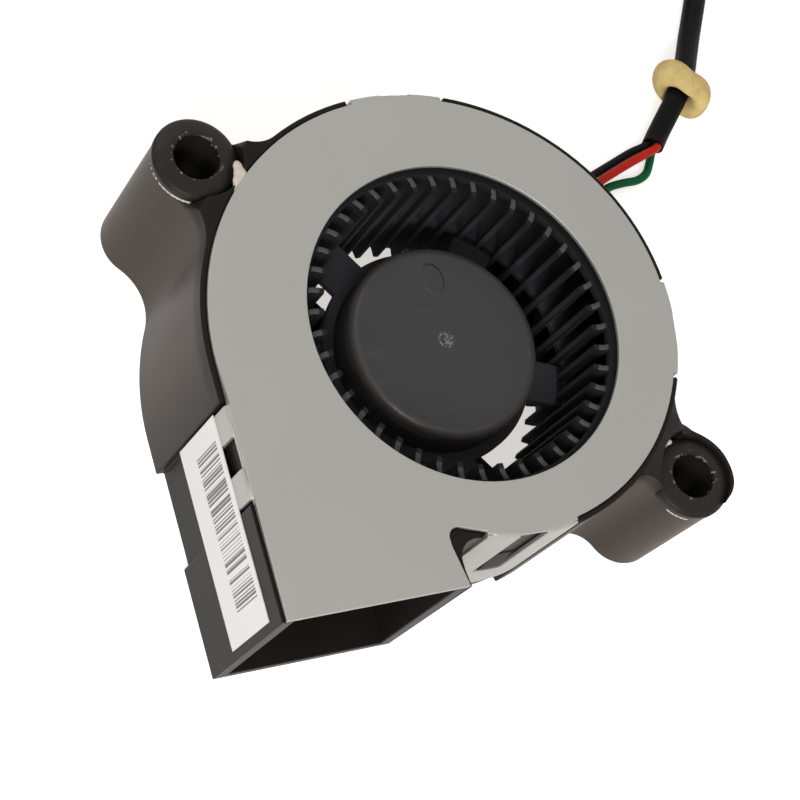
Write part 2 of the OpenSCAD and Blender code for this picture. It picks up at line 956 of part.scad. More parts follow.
module retaining_ring() {
    color("dimgray")
        translate([0, 0, clip_z + fit])
            linear_extrude(0.25 - 2 * fit)
                difference() {
                    circle(shaft_r + 0.4);
                    circle(shaft_r - 0.25 + fit);
                    translate([0, -0.6])
                        square([3, 1.2]);
                }
}

module preload_spring() {
    turns = 3;
    steps = 12;
    wire = 0.12;
    ring_r = shaft_r + 0.03 + wire;
    low = upper_bearing_z + bearing_w + wire + 0.02;
    rise = spring_top - wire - 0.02 - low;
    path = [for (i = [0:turns * steps])
                concat(polar(ring_r, 360 / steps * i), low + rise * i / (turns * steps))];
    color("silver")
        tube(path, wire, 6);
}

// ---- Lead ----------------------------------------------------------------

// Direction of a path at its point i
function heading(path, i) =
    unit(path[min(i + 1, len(path) - 1)] - path[max(i - 1, 0)]);

// Corners of the ring at point i: side is level, and up stands across the path
function ring_points(path, i, r, sides) =
    let (t = heading(path, i),
         side = unit(cross(t, [0, 0, 1])),
         up = cross(side, t))
    [for (k = [0:sides - 1])
        path[i] + r * (cos(360 * (k + 0.5) / sides) * side + sin(360 * (k + 0.5) / sides) * up)];

// A round tube swept along the points of a path
module tube(path, r, sides = 8) {
    n = len(path);
    points = [for (i = [0:n - 1]) each ring_points(path, i, r, sides)];
    walls = [for (i = [0:n - 2])
                 for (k = [0:sides - 1])
                     let (a = i * sides + k,
                          b = i * sides + (k + 1) % sides)
                     each [[a, b, b + sides], [a, b + sides, a + sides]]];
    low_cap = [for (k = [sides - 1:-1:0]) k];
    high_cap = [for (k = [0:sides - 1]) (n - 1) * sides + k];
    polyhedron(points, concat(walls, [low_cap, high_cap]));
}

module wire_red() {
    color("firebrick")
        tube(route_red, wire_d / 2);
}

module wire_black() {
    color([0.07, 0.07, 0.07])
        tube(route_black, wire_d / 2);
}

module wire_green() {
    color([0.05, 0.35, 0.18])
        tube(route_green, wire_d / 2);
}

module sleeve() {
    color([0.06, 0.06, 0.06])
        tube(route_sleeve, sleeve_d / 2);
}

module foam_ring() {
    bore_r = sleeve_d / 2 + 0.05;
    middle_r = (foam_r + bore_r) / 2;
    thick = foam_r - bore_r;
    color([0.80, 0.70, 0.45])
        translate(foam_at)
            rotate([0, 90, atan2(foam_to.y, foam_to.x)])
                rotate_extrude()
                    translate([middle_r, 0])
                        rounded(thick, foam_l, thick * 0.4);
}

module cord_coil() {
    color([0.06, 0.06, 0.06])
        translate(coil_at)
            rotate_extrude() {
                for (k = [0:coil_turns - 1])
                    translate([coil_r, lead_end.z + k * sleeve_d])
                        circle(sleeve_d / 2, $fn = 32);
                translate([coil_r - sleeve_d / 2, lead_end.z])
                    square([sleeve_d, (coil_turns - 1) * sleeve_d + eps]);
            }
}

module sleeve_tail() {
    color([0.06, 0.06, 0.06])
        tube(route_tail, sleeve_d / 2);
}

// The three wires leave the sleeve in a triangle and fan out to the plug.
function tail_offset(k) = k == 0 ? [0, 0, 0.6] : [0, k * 0.55, -0.35];

function tail_path(k) = [
    tail_end + [0.6, 0, 0] + tail_offset(k), tail_end + [-1, 0, 0] + tail_offset(k),
    tail_end + [-tail_l + 2, k * pitch, 0], plug_at + [-2, k * pitch, 0]];

module tail(k, colour) {
    color(colour)
        tube(tail_path(k), wire_d / 2);
}

module connector_housing() {
    wall = 0.55;
    color([0.88, 0.87, 0.83])
        difference() {
            translate([plug_at.x - plug_l, plug_at.y - plug_size.y / 2, plug_at.z - plug_size.z / 2])
                cube(plug_size);
            for (k = [-1:1])
                translate([plug_at.x - plug_l - 1, plug_at.y + k * pitch - (pitch - wall) / 2,
                           plug_at.z - plug_size.z / 2 + wall])
                    cube([plug_l + 2, pitch - wall, plug_size.z - 2 * wall]);
        }
}

module connector_contacts() {
    color("gold")
        for (k = [-1:1])
            translate([plug_at.x - plug_l + 1, plug_at.y + k * pitch - 0.6, plug_at.z - 0.5])
                cube([plug_l - 3.5, 1.2, 1]);
}

// ---- Parts ---------------------------------------------------------------

housing();
cover_plate();
bush_left();
bush_right();
barcode_label();
bearing_tube();
bearing_outer(lower_bearing_z);  // lower_bearing_outer
bearing_balls(lower_bearing_z);  // lower_bearing_balls
bearing_inner(lower_bearing_z);  // lower_bearing_inner
bearing_outer(upper_bearing_z);  // upper_bearing_outer
bearing_balls(upper_bearing_z);  // upper_bearing_balls
bearing_inner(upper_bearing_z);  // upper_bearing_inner
stator_core();
insulator_lower();
insulator_upper();
winding(1);  // winding_1
winding(2);  // winding_2
winding(3);  // winding_3
winding(4);  // winding_4
winding_pins();
circuit_board();
driver_chip();
board_parts();
solder_joints();
impeller();
rotor_yoke();
magnet_ring();
shaft();
preload_spring();
retaining_ring();
wire_red();
wire_black();
wire_green();
sleeve();
foam_ring();
cord_coil();
sleeve_tail();
tail(1, "firebrick");  // tail_red
tail(-1, [0.07, 0.07, 0.07]);  // tail_black
tail(0, [0.05, 0.35, 0.18]);  // tail_green
connector_housing();
connector_contacts();
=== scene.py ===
# %% [markdown]
# # A flat blower fan
#
# A blower draws air in through a round intake, throws it outwards with a drum of blades and
# lets it out through a duct at the side. The solids were made in a CAD program. This lesson
# loads them, gives every surface its finish, rounds the edges that a mould or a punch would
# round, and adds what is too small or too soft for the CAD model.

# %% Load the frame
import math

import bmesh
import bpy
from mathutils import Matrix, Vector


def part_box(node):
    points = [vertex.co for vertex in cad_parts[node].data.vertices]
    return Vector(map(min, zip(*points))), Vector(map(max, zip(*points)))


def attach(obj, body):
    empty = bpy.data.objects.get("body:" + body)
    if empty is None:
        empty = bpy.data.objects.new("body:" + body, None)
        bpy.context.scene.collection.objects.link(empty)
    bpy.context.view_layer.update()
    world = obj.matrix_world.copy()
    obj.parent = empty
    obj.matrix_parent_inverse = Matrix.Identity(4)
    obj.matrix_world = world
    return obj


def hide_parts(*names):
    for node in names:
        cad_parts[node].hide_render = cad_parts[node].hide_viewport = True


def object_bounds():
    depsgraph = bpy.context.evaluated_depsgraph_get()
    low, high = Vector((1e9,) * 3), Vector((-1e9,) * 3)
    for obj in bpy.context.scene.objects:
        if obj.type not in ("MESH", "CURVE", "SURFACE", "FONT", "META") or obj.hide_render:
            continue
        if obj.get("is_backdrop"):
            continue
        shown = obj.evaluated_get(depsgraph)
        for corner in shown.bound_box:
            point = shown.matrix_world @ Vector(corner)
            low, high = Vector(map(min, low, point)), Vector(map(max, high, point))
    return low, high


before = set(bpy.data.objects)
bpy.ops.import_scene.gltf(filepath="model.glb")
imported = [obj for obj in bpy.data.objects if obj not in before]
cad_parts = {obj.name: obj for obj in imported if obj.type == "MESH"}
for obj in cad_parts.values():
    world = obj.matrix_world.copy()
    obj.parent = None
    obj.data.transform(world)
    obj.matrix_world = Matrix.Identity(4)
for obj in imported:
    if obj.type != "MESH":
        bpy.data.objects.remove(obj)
cad_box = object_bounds()
MM = 0.001

print("nodes:", len(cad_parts))

# %% [markdown]
# ## The camera
#
# The camera stands above the fan's outlet side and looks down on the intake, turned a little
# about its own axis. Its place and its three directions are written down as vectors, which
# says more than three angles would, and the matrix is built from them.


# %% The camera
SENSOR_WIDTH = 36
CLIP_START = 0.01


def place_camera(place, right, up, lens):
    right, up = Vector(right).normalized(), Vector(up).normalized()
    back = right.cross(up).normalized()
    up = back.cross(right)
    camera_data = bpy.data.cameras.new("camera")
    camera_data.lens = lens
    camera_data.sensor_width = SENSOR_WIDTH
    camera_data.clip_start = CLIP_START
    camera = bpy.data.objects.new("camera", camera_data)
    turn = Matrix((right, up, back)).transposed().to_4x4()
    camera.matrix_world = Matrix.Translation(place) @ turn
    bpy.context.scene.collection.objects.link(camera)
    bpy.context.scene.camera = camera
    return camera


camera = place_camera(
    place=(-0.1037, -0.0624, 0.1955),
    right=(0.881, -0.274, 0.386),
    up=(0.1295, 0.9237, 0.3607),
    lens=99.3,
)
print("camera height, mm:", round(camera.location.z / MM, 1))

# %% [markdown]
# ## The lead
#
# Three thin wires come out of a slot in the casing, wander over the table and slip into a
# black sleeve. The sleeve carries a foam ring, lies in a small neat coil and ends in a
# connector. Each route is a short list of points. A Catmull-Rom curve through
# them has no kinks and passes through every point, so the wire lies where the points say.


# %% A smooth line through a few points
def smooth_line(points, per_span=6):
    """A Catmull-Rom curve in metres through points in millimetres."""
    points = [Vector(p) * MM for p in points]
    ends = [2 * points[0] - points[1], *points, 2 * points[-1] - points[-2]]
    line = []
    for a, b, c, d in zip(ends, ends[1:], ends[2:], ends[3:], strict=False):
        for k in range(per_span):
            t = k / per_span
            line.append(
                0.5 * (2 * b + (c - a) * t + (2 * a - 5 * b + 4 * c - d) * t**2
                       + (3 * b - a - 3 * c + d) * t**3)
            )
    line.append(points[-1])
    return line


def length_of(line):
    return sum((b - a).length for a, b in zip(line, line[1:], strict=False))


# %% The routes, in millimetres: each starts where its wire leaves the casing
RED_ROUTE = [
    (6.9, 5.2, 3.2), (8.6, 6.4, 3.2), (10.2, 7.5, 2.5), (11.8, 8.7, 1.8), (14.2, 10.4, 1.8),
    (16.7, 12.1, 1.8), (19.5, 14.1, 1.8), (22.4, 15.8, 1.6), (26, 17.6, 1.4),
    (29.5, 19.3, 1.4), (33, 21, 1.4), (35.4, 22, 1.4), (37.8, 22.9, 1.6), (39.8, 23.6, 1.8),
    (41.7, 24.4, 2), (43.7, 26.6, 2),
]
BLACK_ROUTE = [
    (6.1, 6.4, 3.2), (7.8, 7.6, 3.2), (9.4, 8.7, 2.5), (11, 9.8, 1.8), (13.4, 11.5, 1.8),
    (15.9, 13.2, 1.8), (18.7, 15.2, 1.8), (21.4, 17, 1.2), (24.5, 18.6, 0.7), (28, 20.1, 0.6),
    (32, 21.8, 0.6), (36, 23.4, 0.6), (38.6, 24.4, 0.8), (41, 25.1, 1.4), (43, 27.3, 1.5),
]
GREEN_ROUTE = [
    (7.7, 4.1, 3.2), (9.4, 5.3, 3.2), (11, 6.4, 2.5), (12.6, 7.5, 1.8), (15, 9.2, 1.8),
    (17.5, 11, 1.8), (20.3, 12.9, 1.8), (23, 14.4, 1.2), (26.5, 16.3, 0.7), (30.3, 18.4, 0.6),
    (33.9, 20.3, 0.6), (36.2, 20.8, 0.6), (38.4, 21, 0.6), (39.9, 21.7, 0.6),
    (40.8, 22.9, 0.6), (41.6, 24.4, 0.9), (43.7, 26.6, 0.9),
]
SLEEVE_ROUTE = [
    (41.4, 24.7, 1.5), (42.6, 26.1, 1.6), (44, 27.8, 2.3), (45.4, 29.5, 3), (46.5, 30.9, 3.3),
    (47.9, 32.9, 3.1), (49.6, 35.3, 2.3), (51.6, 38.4, 1.6), (53.8, 42.2, 1.4),
    (56, 46.3, 1.4), (58, 50.2, 1.4), (60, 54, 1.4),
]
WIRE_D = 1.0
SLEEVE_D = 2.6

# %% [markdown]
# ### The coil
#
# The coil lies flat: one whole turn on the table, then a climb by one diameter over the place
# where the sleeve came in, and a part turn on top. Placed by hand, its points would leave flat
# spots. A loop works them out from the radius instead, so the turns are truly round and touch
# without cutting into each other.


# %% The points of the coil, with its angles in degrees
COIL_R = 14.0
COIL_STEP = 15
ENTRY_ANGLE = -30
LEAVE_ANGLE = 90
CLIMB = 60
TAIL_STEPS = [(-3, 0, -0.2), (-6, 0, -0.6), (-9, 0, -1)]


def coil_points(start, radius, rise):
    entry = math.radians(ENTRY_ANGLE)
    centre = (start[0] - radius * math.cos(entry), start[1] - radius * math.sin(entry))
    points = []
    sweep = 360 + LEAVE_ANGLE - ENTRY_ANGLE
    for turned in range(COIL_STEP, sweep + 1, COIL_STEP):
        a = math.radians(ENTRY_ANGLE + turned)
        climbed = min(max((turned - 360 + CLIMB) / CLIMB, 0), 1)
        z = start[2] + rise * (0.5 - 0.5 * math.cos(math.pi * climbed))
        points.append((centre[0] + radius * math.cos(a), centre[1] + radius * math.sin(a), z))
    return points


coil = coil_points(SLEEVE_ROUTE[-1], COIL_R, SLEEVE_D)
tail = [Vector(coil[-1]) + Vector(step) for step in TAIL_STEPS]
tail_end = tail[-1]
sleeve_points = [*SLEEVE_ROUTE, *coil, *[tuple(p) for p in tail]]
print("sleeve, mm:", round(length_of(smooth_line(sleeve_points)) / MM, 1))


# %% [markdown]
# ### From a line to a cord
#
# A mesh tube could be swept along each line, but a curve with a bevel is a round tube already,
# and stays light. The bevel is 1 and each point's radius holds the real one, because a curve's
# box grows with the radius of its points and would be far too big with the usual radius of 1.


# %% A round cord along a line
def make_cord(name, points, diameter, *nodes, sides=3):
    line = smooth_line(points)
    data = bpy.data.curves.new(name, "CURVE")
    data.dimensions = "3D"
    data.bevel_depth = 1.0
    data.bevel_resolution = sides
    data.use_fill_caps = True
    spline = data.splines.new("POLY")
    spline.points.add(len(line) - 1)
    for point, co in zip(spline.points, line, strict=True):
        point.co = (*co, 1)
        point.radius = diameter / 2 * MM
    spline.use_smooth = True
    cord = bpy.data.objects.new(name, data)
    bpy.context.scene.collection.objects.link(cord)
    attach(cord, "casing")
    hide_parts(*nodes)
    return cord, length_of(line)


red, red_length = make_cord("red_wire", RED_ROUTE, WIRE_D, "wire_red")
black, black_length = make_cord("black_wire", BLACK_ROUTE, WIRE_D, "wire_black")
green, green_length = make_cord("green_wire", GREEN_ROUTE, WIRE_D, "wire_green")
sleeve, sleeve_length = make_cord(
    "lead_sleeve", sleeve_points, SLEEVE_D, "sleeve", "cord_coil", "sleeve_tail", sides=5)
print("wires, mm:", [round(x / MM, 1) for x in (red_length, black_length, green_length)])

# %% [markdown]
# ### The ends of the wires
#
# At the far end the three wires leave the sleeve in a triangle and fan out to the connector's
# spacing. They are too short to be cords of their own, so they belong to the sleeve.

# %% The short ends at the connector
TAIL_L = 8
PLUG_PITCH = 2.5


def tail_wire(name, side, offset, solid):
    """From the sleeve, where offset is the wire's place in it, to its side of the plug."""
    plug = tail_end + Vector((-TAIL_L, side * PLUG_PITCH, 0))
    points = [
        tail_end + Vector((0.6, *offset)), tail_end + Vector((-1, *offset)),
        plug + Vector((2, 0, 0)), plug + Vector((-2, 0, 0)),
    ]
    return make_cord(name, points, WIRE_D, solid)[0]


tails = [
    tail_wire("red_end", 1, (0.55, -0.35), "tail_red"),
    tail_wire("green_end", 0, (0, 0.6), "tail_green"),
    tail_wire("black_end", -1, (-0.55, -0.35), "tail_black"),
]
print("ends:", [t.name for t in tails])

# %% [markdown]
# ### The foam ring
#
# A strip of soft foam is rolled round the sleeve where the wires go in. Real foam is never an
# even ring: it is a closed loop with a soft crown, two lobes and a few lumps. Sculpting it by
# hand couldn't be repeated, so a circle is spun into a ring, and smooth waves around it push
# its skin in and out. The skin on the sleeve stays where it is.


# %% Helpers that turn a bmesh into a piece
def piece_from(bm, name, body, *nodes, slot=None):
    mesh = bpy.data.meshes.new(name)
    for face in bm.faces:
        face.smooth = True
    bm.to_mesh(mesh)
    bm.free()
    piece = bpy.data.objects.new(name, mesh)
    bpy.context.scene.collection.objects.link(piece)
    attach(piece, body)
    if nodes:
        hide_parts(*nodes)
    return piece


def along(direction):
    """The turn that carries +Z to a direction."""
    return Vector(direction).to_track_quat("Z", "Y").to_matrix().to_4x4()


# %% The foam ring, which has two lobes, one fatter than the other
RING_L = 3.4
RING_R = 3.25
RING_GAP = 0.1
LOBE = 0.9
WAIST = 0.55
THINNER_LOBE = 0.45


def foam_ring(at, direction):
    bm = bmesh.new()
    half_wall = (RING_R - SLEEVE_D / 2) / 2 - RING_GAP
    middle = SLEEVE_D / 2 + half_wall
    ring = bmesh.ops.create_circle(bm, segments=24, radius=1)["verts"]
    for vert in ring:
        vert.co = Vector((middle + vert.co.x * half_wall, 0, vert.co.y * RING_L / 2)) * MM
    bmesh.ops.spin(
        bm, geom=bm.verts[:] + bm.edges[:], axis=(0, 0, 1), cent=(0, 0, 0),
        angle=math.tau, steps=48, use_merge=True,
    )
    bmesh.ops.recalc_face_normals(bm, faces=bm.faces)
    bm.normal_update()
    for vert in bm.verts:
        around = math.atan2(vert.co.y, vert.co.x)
        out = (math.hypot(vert.co.x, vert.co.y) / MM - SLEEVE_D / 2) / (2 * half_wall)
        lobes = math.cos(around) ** 2
        lump = LOBE * lobes - WAIST * (1 - lobes) + 0.12 * math.sin(5 * around + 2)
        lump -= THINNER_LOBE * max(math.cos(around), 0)
        lean = 0.7 * math.cos(around) + 0.25 * math.sin(3 * around)
        vert.co.x += lump * out * math.cos(around) * MM
        vert.co.y += lump * out * math.sin(around) * MM
        vert.co.z += lean * out * MM
    place = Matrix.Translation(Vector(at) * MM) @ along(direction)
    bmesh.ops.transform(bm, matrix=place, verts=bm.verts)
    return piece_from(bm, "foam_loop", "casing", "foam_ring", slot="foam_cream")


foam_way = Vector(SLEEVE_ROUTE[5]) - Vector(SLEEVE_ROUTE[3])
foam = foam_ring(SLEEVE_ROUTE[4], foam_way)
print("foam ring faces:", len(foam.data.polygons))

# %% [markdown]
# ### What the cords are
#
# A cord looks like any other piece to Blender.

# %% [markdown]
# ## A small language for finishes
#
# A finish is arithmetic on patterns: half of a fine noise, plus a ring, times a mask. Written
# with nodes and links that takes many lines and hides the idea. The class below wraps one
# output socket and lets Python's own operators add the Math nodes, so that `1 - mask * 0.3`
# reads as what it is.


# %% A socket that can be calculated with
class Value:
    def __init__(self, owner, socket):
        self.owner = owner
        self.socket = socket

    def math(self, operation, *others, **settings):
        settings["operation"] = operation
        return self.owner.node("ShaderNodeMath", settings, self, *others)

    def output(self, name):
        """Another output of the same node."""
        return Value(self.owner, self.socket.node.outputs[name])

    def __add__(self, other):
        return self.math("ADD", other)

    def __sub__(self, other):
        return self.math("SUBTRACT", other)

    def __mul__(self, other):
        return self.math("MULTIPLY", other)

    def __truediv__(self, other):
        return self.math("DIVIDE", other)

    def __pow__(self, other):
        return self.math("POWER", other)

    def __gt__(self, other):
        return self.math("GREATER_THAN", other)

    def __lt__(self, other):
        return self.math("LESS_THAN", other)

    __radd__ = __add__
    __rmul__ = __mul__

    def __rsub__(self, other):
        return self.owner.node("ShaderNodeMath", {"operation": "SUBTRACT"}, other, self)

    def clamped(self):
        return self.math("ADD", 0.0, use_clamp=True)

    def between(self, low, high, soft):
        """1 from low to high, fading over soft at both ends."""
        return ((self - low) / soft).clamped() * ((high - self) / soft).clamped()


# %% [markdown]
# Every node of every tree comes from one method. It takes the node's type, its settings, and
# the values or links of its sockets, in their order or by name, and hands back one output.


# %% A tree of nodes
class Nodes:
    def __init__(self, tree):
        self.tree = tree

    def feed(self, socket, value):
        if isinstance(value, Value):
            self.tree.links.new(value.socket, socket)
        elif isinstance(value, tuple) and socket.type == "RGBA":
            socket.default_value = (*value, 1)
        else:
            socket.default_value = value

    def node(self, kind, settings=None, *values, out=0, **named):
        made = self.tree.nodes.new(kind)
        for key, setting in (settings or {}).items():
            setattr(made, key, setting)
        for socket, value in zip(made.inputs, values, strict=False):
            if value is not None:
                self.feed(socket, value)
        for key, value in named.items():
            self.feed(made.inputs[key.replace("_", " ")], value)
        return Value(self, made.outputs[out])


# %% [markdown]
# A finish is one material with one Principled shader. What is the same all over the surface is
# set on the shader's own socket. The helpers cover the patterns that are used again and again:
# the place on the piece, noise of a given grain size in millimetres, and a mix of two colours.


# %% One finish
class Finish(Nodes):
    def __init__(self, name, **constants):
        self.material = bpy.data.materials.new(name)
        self.material.use_nodes = True
        super().__init__(self.material.node_tree)
        self.shader = self.tree.nodes["Principled BSDF"]
        for socket, value in constants.items():
            self.set(socket.replace("_", " "), value)

    def set(self, socket, value):
        self.feed(self.shader.inputs[socket], value)

    def place(self, centre=(0, 0, 0), stretch=(1, 1, 1), turn=0.0):
        """The place on the piece in millimetres, from a centre, turned about Z."""
        where = self.node("ShaderNodeTexCoord").output("Object")
        middle = tuple(c * MM for c in centre)
        moved = self.node("ShaderNodeVectorMath", {"operation": "SUBTRACT"}, where, middle)
        scale = tuple(s / MM for s in stretch)
        return self.node("ShaderNodeMapping", {}, moved, Rotation=(0, 0, turn), Scale=scale)

    def axes(self, place):
        split = self.node("ShaderNodeSeparateXYZ", {}, place)
        return [split.output(axis) for axis in "XYZ"]

    def noise(self, grain, place=None, detail=3.0, rough=0.55):
        """A noise from 0 to 1 whose lumps are about grain millimetres wide."""
        return self.node(
            "ShaderNodeTexNoise", {}, Vector=place or self.place(), Scale=1 / grain,
            Detail=detail, Roughness=rough,
        )

    def mix(self, factor, low, high):
        """Factor 0 gives the colour low, 1 gives high. The five inputs between are for numbers."""
        between = [None] * 5
        return self.node("ShaderNodeMix", {"data_type": "RGBA"}, factor, *between, low, high, out=2)

    def bump(self, height, depth_mm):
        """Height from 0 to 1 stands for a relief of depth_mm."""
        relief = self.node("ShaderNodeBump", {}, Strength=1.0, Distance=depth_mm * MM, Height=height)
        self.set("Normal", relief)

    def on(self, *pieces):
        for piece in pieces:
            piece.data.materials.clear()
            piece.data.materials.append(self.material)


def cad_nodes(*names):
    return [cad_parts[name] for name in names]


# %% [markdown]
# ## The table and the light
#
# Small products are shown on a white table under broad soft light. The table's surface is a
# pale diffuse one that takes the fan's shadow. For the rays that show it, a glow is added that
# lifts it to white, and the kind of ray chooses between the two. The sky does the same. The
# lamps together light a surface at about the level at which a colour looks as it is written.


# %% The white table and the sky
TABLE_GREY = (0.82, 0.82, 0.82)
TABLE_GLOW = (1, 0.96, 0.925)
GLOW_LEVEL = 0.64
SKY_LEVEL = 0.48


def rays_that_see_white(nodes):
    """1 for a ray that shows the white itself, 0 for one that only gathers light."""
    path = nodes.node("ShaderNodeLightPath")
    camera, glossy, through = (
        path.output(f"Is {kind} Ray") for kind in ("Camera", "Glossy", "Transmission"))
    return camera.math("MAXIMUM", glossy).math("MAXIMUM", through)


def table_surface():
    material = bpy.data.materials.new("white_table")
    material.use_nodes = True
    tree = material.node_tree
    tree.nodes.remove(tree.nodes["Principled BSDF"])
    nodes = Nodes(tree)
    diffuse = nodes.node("ShaderNodeBsdfDiffuse", {}, TABLE_GREY)
    glow = nodes.node("ShaderNodeEmission", {}, TABLE_GLOW, GLOW_LEVEL)
    both = nodes.node("ShaderNodeAddShader", {}, diffuse, glow)
    surface = nodes.node("ShaderNodeMixShader", {}, rays_that_see_white(nodes), diffuse, both)
    nodes.feed(tree.nodes["Material Output"].inputs["Surface"], surface)
    return material


def white_table(half_width=3.0, below=0.02):
    bm = bmesh.new()
    bmesh.ops.create_grid(bm, x_segments=2, y_segments=2, size=half_width)
    bmesh.ops.translate(bm, vec=(0, 0, -below * MM), verts=bm.verts)
    mesh = bpy.data.meshes.new("table_top")
    bm.to_mesh(mesh)
    bm.free()
    top = bpy.data.objects.new("table_top", mesh)
    top.data.materials.append(table_surface())
    bpy.context.scene.collection.objects.link(top)
    top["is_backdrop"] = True
    return top


def soft_sky():
    world = bpy.data.worlds.new("soft_sky")
    bpy.context.scene.world = world
    world.use_nodes = True
    nodes = Nodes(world.node_tree)
    background = world.node_tree.nodes["Background"]
    nodes.feed(background.inputs["Color"], (1, 1, 1))
    level = rays_that_see_white(nodes) * (1 - SKY_LEVEL) + SKY_LEVEL
    nodes.feed(background.inputs["Strength"], level)
    return world


table_top = white_table()
sky = soft_sky()
print("stage:", table_top.name, "and", sky.name)


# %% The lamps
def soft_lamp(name, place, size, power):
    data = bpy.data.lights.new(name, "AREA")
    data.shape = "DISK"
    data.size = size
    data.energy = power
    lamp = bpy.data.objects.new(name, data)
    lamp.location = place
    lamp.rotation_euler = (-Vector(place)).to_track_quat("-Z", "Y").to_euler()
    lamp.visible_camera = False
    bpy.context.scene.collection.objects.link(lamp)
    return lamp


lamps = [
    soft_lamp("window", (-0.25, -0.34, 0.30), 0.26, 2.1),
    soft_lamp("fill", (-0.10, 0.62, 0.50), 0.5, 0.8),
]
bpy.context.scene.view_settings.view_transform = "Standard"
print("lamps:", [lamp.name for lamp in lamps])

# %% [markdown]
# ## Rounded edges
#
# The CAD solids come as loose triangles with knife edges. A mould or a punch never makes such
# an edge, and it is the small round that catches the light and tells the eye that a thing is
# real. A copy of the solid is merged, and the edges that turn by more than a given angle get a
# narrow bevel. The flat faces stay in triangles, because a face with a hole in it can't be one.


# %% A copy of a CAD solid with rounded edges
SHARP_OVER = math.radians(40)


def rounded_copy(name, source, body, slot, width, segments=2):
    bm = bmesh.new()
    bm.from_mesh(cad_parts[source].data)
    bmesh.ops.remove_doubles(bm, verts=bm.verts, dist=0.002 * MM)
    sharp = [e for e in bm.edges if e.calc_face_angle(0) > SHARP_OVER]
    bmesh.ops.bevel(
        bm, geom=sharp, offset=width * MM, offset_type="OFFSET", segments=segments,
        profile=0.5, affect="EDGES", clamp_overlap=False, material=-1,
    )
    bmesh.ops.remove_doubles(bm, verts=bm.verts, dist=0.001 * MM)
    piece = piece_from(bm, name, body, source, slot=slot)
    piece.data.set_sharp_from_angle(angle=SHARP_OVER)
    weigh = piece.modifiers.new("even_shading", "WEIGHTED_NORMAL")
    weigh.keep_sharp = True
    print(name, "edges rounded:", len(sharp), "faces:", len(piece.data.polygons))
    return piece


# %% [markdown]
# ## The moulded housing
#
# The housing is glass-filled plastic from a mould, nearly black with a warm tint. Its curved
# walls carry painted light: their sides are painted lighter than the duct and the tops, which
# stay darker. Its inside is lighter and bluish, and there are a few specks. Flow marks from the
# mould show mostly in the reflections. An image wrapped round the walls would need seams.
# Masks of height and distance need none, and each is mixed over the one before.


# %% The housing and its finish
WARM = (1.0, 0.92, 0.84)
ROUNDING = 0.14
INSIDE_R = 21.0
INSIDE_TOP = 17.6
WALL_TOP = 18.4
EAR_DROP = 2.6


def housing_plastic():
    finish = Finish("housing_plastic", Specular_IOR_Level=0.08, Specular_Tint=WARM)
    grain = finish.noise(0.35, detail=2)
    flow = finish.noise(9, finish.place(stretch=(1, 1, 0.35)), detail=4)
    dust = finish.noise(0.9, detail=5, rough=0.7)
    specks = ((dust - 0.68) * 9).clamped()
    plastic = finish.mix(
        (flow * 0.5 + specks * 0.35).clamped(), (0.006, 0.0052, 0.0047), (0.030, 0.0245, 0.0205))
    x, y, z = finish.axes(finish.place())
    # Lighter and bluish inside the casing.
    inside = ((x * x + y * y) ** 0.5 < INSIDE_R) * z.between(0.4, INSIDE_TOP, 0.3)
    # Painted light: the walls behind and beside the duct are painted lighter below their top, and the
    # tops stay darker.
    behind_duct = ((y + 6) / 8).clamped()
    beside_duct = ((x - 7) / 6).clamped()
    top = WALL_TOP - ((x - 14) / 4).clamped() * EAR_DROP
    painted_lit_walls = behind_duct.math("MAXIMUM", beside_duct) * ((top - z) / 1.2).clamped() * (1 - inside)
    walls = finish.mix(painted_lit_walls * 0.8, plastic, (0.068, 0.053, 0.043))
    finish.set("Base Color", finish.mix(inside * 0.8, walls, (0.055, 0.056, 0.062)))
    finish.set("Roughness", 0.34 + flow * 0.14 + specks * 0.1)
    finish.bump(grain * 0.6 + flow * 0.4, 0.012)
    return finish


housing = rounded_copy("moulded_housing", "housing", "casing", "housing_plastic", ROUNDING)
black_plastic = housing_plastic()
black_plastic.on(housing)

# %% [markdown]
# ## The collar of the right ear
#
# The web of the right ear does not stop at the ear: it runs on round the bush as a thin collar
# and fades out at its side. The mesh of a solid from the CAD program isn't changed here, so the
# collar is a piece of its own. Its outer edge is one smooth line. An extrusion carries that
# line in to the ear, and a second one carries the strip down to the foot.


# %% The collar beside the right bush
LEFT_EAR = (-22.5, 20.1)
RIGHT_EAR = (22.0, -18.2)
EAR_R = 4.2
COLLAR_EDGE = [
    (21.6, -13.0), (22.6, -13.3), (23.6, -13.8), (24.6, -14.5), (25.45, -15.35), (26.1, -16.4),
    (26.4, -17.5), (26.5, -18.6), (26.3, -19.7), (25.75, -20.6), (25.1, -21.15), (24.5, -21.6),
]
COLLAR_TOP = 16.55
COLLAR_FOOT = 0.3
COLLAR_OVERLAP = 0.1
# The collar's top rises towards the fan's axis with this slope, from this far off the ear's
WEB_SLOPE = 0.596
RISE_START = 1.8


def new_verts(made):
    return [part for part in made["geom"] if isinstance(part, bmesh.types.BMVert)]


